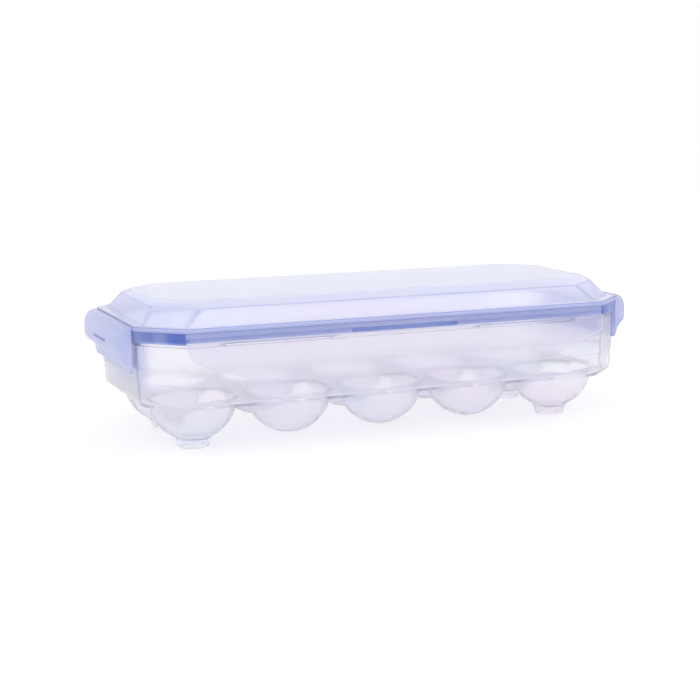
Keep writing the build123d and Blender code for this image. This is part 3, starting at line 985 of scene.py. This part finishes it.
def lid_profile():
    """The lid from the middle of its ceiling, round the plug, channel and skirt, and up to its top."""
    lid = settings("lid")
    skirt_in = lid.bead_relief + lid.skirt_wall
    run_x, run_y = lid.flank_run_x, lid.flank_run_y
    far_x, far_y = run_x + lid.crown_run_x, run_y + lid.crown_run_y
    channel = lid.rim_top - lid.wall
    edge = skirt_edge()
    bead = lid.rim_top - lid.bead_height
    fine, soft, break_soft = 0.25 * MM, 0.5 * MM, lid.break_softness
    parts = [
        turn_at(dome_loop(far_x, far_y, lid.crown_corner, lid_high.z, lid.wall), lid.crown_softness),
        turn_at(dome_loop(run_x, run_y, lid.flank_corner, lid.flank_top, lid.wall), break_soft),
        turn_at(rim_loop(lid.plug_inner, channel + 0.5 * MM), fine),
        turn_at(rim_loop(lid.plug_inner, lid.plug_bottom), soft),
        turn_at(rim_loop(lid.plug_outer, lid.plug_bottom), soft),
        turn_at(rim_loop(lid.plug_outer, channel), fine),
        turn_at(rim_loop(skirt_in, channel), fine),
        turn_at(rim_loop(skirt_in, edge), fine),
        turn_at(rim_loop(lid.bead_relief, edge), fine, 0, lid.skirt_painted_shade),
        turn_at(rim_loop(lid.bead_relief, bead), fine, lid.rim_shade_line),
        turn_at(rim_loop(0, bead), fine, lid.rim_shade_line, lid.bead_painted_shade),
        turn_at(rim_loop(0, lid.rim_top), 0.6 * MM, lid.rim_shade_line),
        turn_at(rim_loop(lid.dome_inset, lid.rim_top), 0.5 * MM),
        turn_at(dome_loop(run_x, run_y, lid.flank_corner, lid.flank_top, 0), break_soft, lid.break_shade_line),
        turn_at(dome_loop(far_x, far_y, lid.crown_corner, lid_high.z, 0), lid.crown_softness),
    ]
    loops, softness, lines, faces = zip(*parts)
    top_x, top_y = far_x + lid.top_inset, far_y + lid.top_inset
    inner_middle, outer_middle = (
        dome_loop(top_x, top_y, lid.crown_corner, lid_high.z, wall) for wall in (lid.wall, 0)
    )
    profile = soften([inner_middle, *loops, outer_middle], softness)
    # painted shade: dark lines at the profile's corners and shaded bands on the faces after them
    line = np.array([0, 0.6, 1, 1, 0.6, 0])
    ramp = np.linspace(0, 1, len(line))
    after = np.array(faces)[:, None]
    before = np.roll(after, 1, axis=0)
    shade_shares = np.maximum(np.array(lines)[:, None] * line, before * (1 - ramp) + after * ramp)
    depth = np.concatenate([[0], shade_shares.ravel(), [0]])[:, None] + np.zeros(profile.shape[:2])
    half, full = len(line) // 2, len(line)
    skirt, flank = (slice(1 + full * n + half, 1 + full * (n + 1) + half) for n in (8, 12))
    # painted shade in the corner skirts, with a painted highlight band
    depth[skirt] = np.maximum(depth[skirt], np.where(edge < lid_low.z + 0.1 * MM, corner_skirt_shade(), 0))
    # painted shade in the flanks and a painted refraction of the seal
    depth[flank] = np.maximum(depth[flank], flank_painted_shade())
    return profile, depth


class KEEPER_OT_lid(bpy.types.Operator):
    """Make the clear lid: flat top, two bevels, beaded rim, skirt with its gaps, channel and plug"""

    bl_idname = "mesh.keeper_lid"
    bl_label = "Lid"

    def execute(self, context):
        profile, deep = lid_profile()
        surface = Surface()
        # deep holds the lid's painted shade
        surface.add(profile, wrap_columns=True, depth=deep)
        surface.add(plate(profile[-1]))
        surface.add(plate(profile[0]), flip=True)
        obj = surface.piece("lid_shell")
        place(obj, "lid", "lid", "clear_polypropylene", lid_plastic())
        return {"FINISHED"}


class KEEPER_OT_seal(bpy.types.Operator):
    """Make the blue seal: a flat ring with an apron round its outside"""

    bl_idname = "mesh.keeper_seal"
    bl_label = "Seal"

    def execute(self, context):
        seal = settings("seal")
        top, bottom = gasket_high.z - seal.play, gasket_low.z
        under = top - seal.height
        inner_apron = seal.outer + seal.apron_wall
        corners = [
            (seal.outer, bottom, 0.3 * MM),
            (seal.outer, top, 0.3 * MM),
            (seal.inner, top, 0.3 * MM),
            (seal.inner, under, 0.6 * MM),
            (inner_apron, under, 0.4 * MM),
            (inner_apron, bottom, 0.3 * MM),
        ]
        loops = [rim_loop(inset, z) for inset, z, _ in corners]
        surface = Surface()
        surface.add(
            closed_profile(loops, [soft for _, _, soft in corners]), wrap_rows=True, wrap_columns=True
        )
        obj = surface.piece("gasket_ring")
        place(obj, "lid", "gasket", "blue_silicone", silicone())
        return {"FINISHED"}


# ---------------------------------------------------------------- flaps and hinges


def rounded_path(points, radius, steps=6):
    """A path of straight runs with its corners as arcs.

    At a corner with directions u before and v after, the arc runs from corner - L u to corner + L v with
    L = radius * tan(turn / 2), and its points are centre + radius * (direction turned step by step).
    """
    points = np.array(points, float)
    done = [points[:1]]
    for before, corner, after in zip(points, points[1:], points[2:]):
        u, v = (b - a for a, b in ((before, corner), (corner, after)))
        u, v = u / np.linalg.norm(u), v / np.linalg.norm(v)
        side = u[0] * v[1] - u[1] * v[0]
        turn = np.arctan2(abs(side), u @ v)
        normal = np.array([-u[1], u[0]]) * np.sign(side)
        centre = corner - u * radius * np.tan(turn / 2) + normal * radius
        t = np.linspace(0, turn, steps + 1)[:, None]
        done.append(centre - normal * radius * np.cos(t) + u * radius * np.sin(t))
    return np.concatenate([*done, points[-1:]])


def along_path(path, count):
    """Points at even distances along a path."""
    run = np.concatenate([[0], np.cumsum(np.linalg.norm(np.diff(path, axis=0), axis=1))])
    at = np.linspace(0, run[-1], count)
    return np.column_stack([np.interp(at, run, path[:, 0]), np.interp(at, run, path[:, 1])])


def solid_sheet(obj, thickness, edge):
    """Give a middle surface its thickness and round its edges."""
    wall = obj.modifiers.new("Wall", "SOLIDIFY")
    wall.thickness = thickness
    wall.offset = 0
    wall.use_even_offset = True
    round_edges = obj.modifiers.new("Edges", "BEVEL")
    round_edges.width = edge
    round_edges.segments = 3
    round_edges.limit_method = "ANGLE"
    round_edges.angle_limit = radians(50)
    return obj


def long_flap_sheet():
    """Middle surface of the front flap: (x, y(z), z), from its straight top to its slanted lower edge.

    y(z) is the bulged section. The rows above the slots are level, and those below share out the height
    down to the lower edge at each x. The slots are quads left out of the grid.
    """
    f, lid = settings("flaps"), settings("lid")
    low, high = long_flap_low, long_flap_high
    outer_y = -low.y - f.wall / 2
    tip = low.z
    section = rounded_path(
        [
            (high.z, f.long_hinge_y),
            (high.z - 2.2 * MM, f.long_hinge_y),
            (tip + 12.5 * MM, outer_y),
            (tip + 3.2 * MM, outer_y - 0.5 * MM),
            (tip, outer_y),
        ],
        5 * MM,
    )[::-1]
    outline = rounded_path(
        [
            (0, tip),
            (high.x - f.slant, tip),
            (high.x, f.long_hinge_z - f.side),
            (high.x, high.z - 1.0 * MM),
        ],
        f.rounding,
        steps=10,
    )
    outline = outline[:-1]
    slot = [f.slot_middle - f.slot_half, f.slot_middle + f.slot_half]
    marks = [0, 9 * MM, 18 * MM, lid.window_half - EDGE, lid.window_half + EDGE, 34 * MM]
    marks += [slot[0], *np.linspace(slot[0], slot[1], 8)[1:-1], slot[1]]
    marks += [97 * MM, *(high.x - (1 - np.cos(np.linspace(0, np.pi / 2, 9))) * 8 * MM)]
    x = np.unique(np.round(marks, 7))
    lower = np.interp(x, outline[:, 0], outline[:, 1])
    top = np.where(x < lid.window_half, high.z - f.wall / 2, high.z)
    slot_z = f.long_hinge_z - f.slot_drop
    slot_top, slot_bottom = slot_z + f.slot_height / 2, slot_z - f.slot_height / 2
    share = np.linspace(0, 1, 22)[1:, None]
    z = np.concatenate([
        [top, (top + slot_top) / 2, slot_top + 0 * x, slot_bottom + 0 * x],
        slot_bottom + (lower - slot_bottom) * share,
    ])
    x = np.concatenate([-x[:0:-1], x])
    z = np.concatenate([z[:, :0:-1], z], axis=1)
    grid = np.stack([x + 0 * z, -np.interp(z, section[:, 0], section[:, 1]), z], -1)
    middles = (abs(x[1:]) + abs(x[:-1])) / 2
    keep = np.ones((z.shape[0] - 1, z.shape[1] - 1), bool)
    keep[2] = ~((middles > slot[0]) & (middles < slot[1]))
    depth = np.zeros(z.shape)
    # painted shadow: a dark line along the upper edge of each long slot
    depth[2] = f.slot_shadow_line * ((abs(x) > slot[0] - EDGE) & (abs(x) < slot[1] + EDGE))
    return grid, keep, depth


def end_flap_sheet():
    """Middle surface of the right flap: a hooked section (X, Z) carried across it, with side walls.

    Across the flap y runs to Y - r, then a corner (X - r (1 - cos t), Y - r + r sin t) turns it inwards, and
    a side wall runs straight in to the wall's gap. r is the corner's radius, or less where X is too near.
    Y is the half width less the rounding's sagitta, R - sqrt(R^2 - (R - d)^2), at a distance d from the
    upper or the lower edge.
    """
    f = settings("flaps")
    low, high = end_flap_low, end_flap_high
    cheek = high.x - f.wall / 2
    section = rounded_path(
        [
            (f.end_hinge_x + 0.5 * MM, f.end_hinge_z - 0.2 * MM),
            (cheek - 1.7 * MM, f.end_hinge_z - 0.8 * MM),
            (cheek, f.end_hinge_z - 5.3 * MM),
            (cheek, f.end_hinge_z - 12.9 * MM),
            (cheek - f.end_return, low.z + f.wall / 2 + f.end_lip),
            (cheek - f.end_return, low.z),
        ],
        4 * MM,
    )
    slot_z = f.end_hinge_z - f.end_slot_drop
    upper = section[section[:, 1] > slot_z + 0.1 * MM]
    top_part = along_path(np.vstack([upper, [cheek, slot_z + f.slot_height / 2]]), 18)
    lower = section[section[:, 1] < slot_z - f.slot_height]
    low_part = along_path(np.vstack([[cheek, slot_z - f.slot_height / 2], lower]), 22)
    x, z = np.vstack([top_part, low_part]).T[:, :, None]
    rounding = f.end_rounding

    def sagitta(distance):
        return rounding - np.sqrt(rounding**2 - np.clip(rounding - distance, 0, rounding) ** 2)

    inner = lid_high.x + f.side_gap
    half = high.y - f.wall / 2 - sagitta(z - low.z) - sagitta(f.end_hinge_z + f.wall - z)
    radius = np.minimum(f.end_corner, 0.8 * (x - inner))
    slot = f.end_slot_half / (high.y - f.wall / 2 - f.end_corner)
    share = np.unique(np.concatenate([np.linspace(0, 1, 14), [slot]]))[None, :]
    t = np.linspace(0, np.pi / 2, 8)[None, 1:]
    side = np.linspace(0, 1, 5)[None, 1:]
    across = np.hstack([share * (half - radius), half - radius + radius * np.sin(t), half + 0 * x * side])
    along = np.hstack([
        x + 0 * share, x - radius * (1 - np.cos(t)), (x - radius) * (1 - side) + inner * side
    ])
    grid = np.stack([along, across, z + 0 * along], -1)
    grid = np.hstack([(grid * (1, -1, 1))[:, :0:-1], grid])
    keep = np.ones((grid.shape[0] - 1, grid.shape[1] - 1), bool)
    middles = abs(grid[17, 1:, 1] + grid[17, :-1, 1]) / 2
    keep[17] = middles > f.end_slot_half
    return grid, keep


def end_ledge():
    """Middle surface of the lock ledge inside the right flap, which runs a little way into its wall."""
    f = settings("flaps")
    wall_inside = end_flap_high.x - f.wall
    x = np.linspace(wall_inside - f.ledge_depth + f.wall / 2, wall_inside + f.ledge_overlap, 3)
    y = np.linspace(-f.ledge_half, f.ledge_half, 9)
    x, y = np.meshgrid(x, y, indexing="ij")
    return np.stack([x, y, np.full(x.shape, f.end_hinge_z - f.ledge_drop)], -1)


class KEEPER_OT_long_flaps(bpy.types.Operator):
    """Make the front and rear lock flaps with their two slots each"""

    bl_idname = "mesh.keeper_long_flaps"
    bl_label = "Long flaps"

    def execute(self, context):
        flaps = settings("flaps")
        grid, keep, depth = long_flap_sheet()
        material = flap_plastic()
        for name, body, side in (("front_flap", "front_flap", 1), ("rear_flap", "base", -1)):
            surface = Surface()
            # the depth attribute carries the slots' painted shadow
            surface.add(grid * (1, side, 1), keep=keep, flip=side > 0, depth=depth)
            obj = solid_sheet(surface.piece(name + "_plate", closed=False), flaps.wall, flaps.edge)
            place(obj, body, name, "flap_polypropylene", material)
        return {"FINISHED"}


class KEEPER_OT_end_flaps(bpy.types.Operator):
    """Make the left and right lock flaps with their slot and lock ledge"""

    bl_idname = "mesh.keeper_end_flaps"
    bl_label = "End flaps"

    def execute(self, context):
        flaps = settings("flaps")
        grid, keep = end_flap_sheet()
        material = shaded_end_flap_plastic()
        for name, side in (("right_flap", 1), ("left_flap", -1)):
            surface = Surface()
            surface.add(grid * (side, 1, 1), keep=keep, flip=side > 0)
            surface.add(end_ledge() * (side, 1, 1), flip=side > 0)
            obj = solid_sheet(surface.piece(name + "_plate", closed=False), flaps.wall, flaps.edge)
            place(obj, name, name, "flap_polypropylene", material)
        return {"FINISHED"}


def film_grid(section, start, stop, steps=12):
    """A film: its section in the plane across the hinge line, carried along the line."""
    along = np.linspace(start, stop, steps)
    return along, section[:, None, :] + 0 * along[None, :, None]


class KEEPER_OT_hinges(bpy.types.Operator):
    """Make the four living hinges, thin films that bend between the lid and its flaps"""

    bl_idname = "mesh.keeper_hinges"
    bl_label = "Living hinges"

    def execute(self, context):
        f, lid = settings("flaps"), settings("lid")
        material = film_plastic()
        skirt_y = lid_high.y - lid.bead_relief - lid.skirt_wall / 2
        long_section = along_path(rounded_path(
            [
                (skirt_y, f.long_hinge_z + 1.3 * MM),
                (skirt_y + 0.2 * MM, f.long_hinge_z + 0.7 * MM),
                (f.long_hinge_y + 0.1 * MM, f.long_hinge_z + 0.1 * MM),
                (f.long_hinge_y, f.long_hinge_z - 1.1 * MM),
            ],
            0.5 * MM,
        ), 9)
        long_flap_x = long_flap_high.x - 1 * MM
        for name, side, body in (("front_hinge", -1, "front_flap"), ("rear_hinge", 1, "base")):
            surface = Surface()
            for half in (-1, 1):
                along, points = film_grid(long_section, lid.window_half + 0.3 * MM, long_flap_x)
                x = half * along + 0 * points[..., 0]
                grid = np.stack([x, side * points[..., 0], points[..., 1]], -1)
                surface.add(grid, flip=side * half > 0)
            obj = solid_sheet(surface.piece(name + "_film", closed=False), f.film, f.film_edge)
            place(obj, "lid", name, "hinge_film", material)
            bend_between(obj)
        end_section = along_path(rounded_path(
            [
                (lid_high.x - 0.5 * MM, f.end_hinge_z - 0.3 * MM),
                (f.end_hinge_x, f.end_hinge_z - 0.1 * MM),
                (f.end_hinge_x + 1.1 * MM, f.end_hinge_z - 0.25 * MM),
            ],
            0.8 * MM,
        ), 9)
        half_film = end_hinge_high.y
        for name, side, body in (("right_hinge", 1, "right_flap"), ("left_hinge", -1, "left_flap")):
            along, points = film_grid(end_section, -half_film, half_film)
            grid = np.stack([side * points[..., 0], along + 0 * points[..., 0], points[..., 1]], -1)
            surface = Surface()
            surface.add(grid, flip=side > 0)
            obj = solid_sheet(surface.piece(name + "_film", closed=False), f.film, f.film_edge)
            place(obj, "lid", name, "hinge_film", material)
            bend_between(obj)
        return {"FINISHED"}


def bend_between(obj):
    """Take a film off the body that it rode on, and keep it where it is."""
    obj.parent = None
    del obj["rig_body"]
    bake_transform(obj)


# ---------------------------------------------------------------- stage


def white_for_sight(tree):
    """A share that is 1 for rays that see, whether straight, by reflection or through plastic."""
    path = tree.nodes.new("ShaderNodeLightPath")
    share = path.outputs["Is Camera Ray"]
    for name in ("Is Glossy Ray", "Is Transmission Ray"):
        most = tree.nodes.new("ShaderNodeMath")
        most.operation = "MAXIMUM"
        tree.links.new(share, most.inputs[0])
        tree.links.new(path.outputs[name], most.inputs[1])
        share = most.outputs["Value"]
    return share


def make_world(daylight):
    """An even white surrounding that lights the box from all sides."""
    world = bpy.data.worlds.new("Light tent")
    bpy.context.scene.world = world
    world.use_nodes = True
    tree = world.node_tree
    tree.nodes.clear()
    light, seen = (tree.nodes.new("ShaderNodeBackground") for _ in range(2))
    light.inputs["Strength"].default_value = daylight
    seen.inputs["Strength"].default_value = 1.0
    for shader in (light, seen):
        shader.inputs["Color"].default_value = (1, 1, 1, 1)
    mix = tree.nodes.new("ShaderNodeMixShader")
    output = tree.nodes.new("ShaderNodeOutputWorld")
    tree.links.new(white_for_sight(tree), mix.inputs["Fac"])
    tree.links.new(light.outputs["Background"], mix.inputs[1])
    tree.links.new(seen.outputs["Background"], mix.inputs[2])
    tree.links.new(mix.outputs["Shader"], output.inputs["Surface"])


def make_floor(size):
    """A plain white floor that keeps the box's shadow and reads as white where nothing shades it."""
    side = size / 2
    mesh = bpy.data.meshes.new("floor")
    corners = [(-side, -side, 0), (side, -side, 0), (side, side, 0), (-side, side, 0)]
    mesh.from_pydata(corners, [], [(0, 1, 2, 3)])
    floor = bpy.data.objects.new("floor", mesh)
    bpy.context.scene.collection.objects.link(floor)
    material = bpy.data.materials.new("White floor")
    material.use_nodes = True
    tree = material.node_tree
    tree.nodes.clear()
    paint = tree.nodes.new("ShaderNodeBsdfDiffuse")
    paint.inputs["Color"].default_value = (1, 1, 1, 1)
    glow = tree.nodes.new("ShaderNodeEmission")
    glow.inputs["Color"].default_value = (1, 1, 1, 1)
    shadow_left = tree.nodes.new("ShaderNodeMath")
    shadow_left.operation = "MULTIPLY"
    shadow_left.inputs[1].default_value = settings("stage").floor_glow
    tree.links.new(white_for_sight(tree), shadow_left.inputs[0])
    mix = tree.nodes.new("ShaderNodeMixShader")
    output = tree.nodes.new("ShaderNodeOutputMaterial")
    tree.links.new(shadow_left.outputs["Value"], mix.inputs["Fac"])
    tree.links.new(paint.outputs["BSDF"], mix.inputs[1])
    tree.links.new(glow.outputs["Emission"], mix.inputs[2])
    tree.links.new(mix.outputs["Shader"], output.inputs["Surface"])
    mesh.materials.append(material)


def make_lamp(name, place_at, size, power):
    """A soft square lamp aimed at the box."""
    data = bpy.data.lights.new(name, "AREA")
    data.size, data.energy = size, power
    lamp = bpy.data.objects.new(name, data)
    bpy.context.scene.collection.objects.link(lamp)
    aim = Vector((0, 0, settings("stage").aim_height))
    lamp.location = place_at
    lamp.rotation_euler = (aim - Vector(place_at)).to_track_quat("-Z", "Y").to_euler()


def make_camera():
    """The camera, from its azimuth, elevation, roll, distance and focal length."""
    s = settings("stage")
    back = Vector((sin(s.azimuth) * cos(s.elevation), -cos(s.azimuth) * cos(s.elevation), sin(s.elevation)))
    right = (-back).cross(Vector((0, 0, 1))).normalized()
    up = right.cross(-back)
    rolled_right = right * cos(s.roll) + up * sin(s.roll)
    rolled_up = up * cos(s.roll) - right * sin(s.roll)
    data = bpy.data.cameras.new("camera")
    data.sensor_width = SENSOR
    data.lens = s.focal * SENSOR / FRAME_WIDTH
    data.shift_x = -s.middle_x / FRAME_WIDTH
    data.shift_y = s.middle_y / FRAME_WIDTH
    data.clip_start = 0.01
    camera = bpy.data.objects.new("camera", data)
    bpy.context.scene.collection.objects.link(camera)
    turned = Matrix((rolled_right, rolled_up, back)).transposed().to_4x4()
    turned.translation = Vector((0, 0, s.aim_height)) + back * s.distance
    camera.matrix_world = turned
    bpy.context.scene.camera = camera


class KEEPER_OT_stage(bpy.types.Operator):
    """Make the camera, the white floor, the even daylight and two soft lamps"""

    bl_idname = "scene.keeper_stage"
    bl_label = "Stage"

    def execute(self, context):
        stage = settings("stage")
        scene = context.scene
        scene.view_settings.view_transform = "Standard"
        scene.cycles.max_bounces = 32
        scene.cycles.transmission_bounces = 32
        scene.cycles.diffuse_bounces = 32
        scene.cycles.blur_glossy = 0
        make_world(stage.daylight)
        make_floor(stage.floor_size)
        make_lamp("key", (-0.7, -1.0, 1.1), 1.0, 5)
        make_lamp("fill", (0.9, -0.4, 0.9), 1.0, 2)
        make_camera()
        return {"FINISHED"}


class KEEPER_PT_panel(bpy.types.Panel):
    """Buttons and sizes of the egg keeper"""

    bl_idname = "KEEPER_PT_panel"
    bl_label = "Egg keeper"
    bl_space_type = "VIEW_3D"
    bl_region_type = "UI"
    bl_category = "Egg Keeper"

    def draw(self, context):
        for operator in OPERATORS:
            self.layout.operator(operator.bl_idname)
        for part, group in GROUPS.items():
            box = self.layout.box()
            box.label(text=group.__doc__)
            for name in group.__annotations__:
                box.prop(getattr(context.scene, "keeper_" + part), name)


GROUPS = {
    "outline": KeeperOutline,
    "tub": KeeperTub,
    "lid": KeeperLid,
    "seal": KeeperSeal,
    "flaps": KeeperFlaps,
    "colours": KeeperColours,
    "stage": KeeperStage,
}
OPERATORS = (
    KEEPER_OT_tub,
    KEEPER_OT_lid,
    KEEPER_OT_seal,
    KEEPER_OT_long_flaps,
    KEEPER_OT_end_flaps,
    KEEPER_OT_hinges,
    KEEPER_OT_stage,
)


def register():
    """Register the classes and put the property groups on the scene."""
    for cls in (*GROUPS.values(), *OPERATORS, KEEPER_PT_panel):
        bpy.utils.register_class(cls)
    for part, group in GROUPS.items():
        setattr(bpy.types.Scene, "keeper_" + part, bpy.props.PointerProperty(type=group))


def unregister():
    """Take the property groups and the classes away again."""
    for part in GROUPS:
        delattr(bpy.types.Scene, "keeper_" + part)
    for cls in reversed((*GROUPS.values(), *OPERATORS, KEEPER_PT_panel)):
        bpy.utils.unregister_class(cls)


def main():
    """Build the whole scene."""
    register()
    bpy.ops.mesh.keeper_tub()
    bpy.ops.mesh.keeper_lid()
    bpy.ops.mesh.keeper_seal()
    bpy.ops.mesh.keeper_long_flaps()
    bpy.ops.mesh.keeper_end_flaps()
    bpy.ops.mesh.keeper_hinges()
    bpy.ops.scene.keeper_stage()


if __name__ == "__main__":
    main()
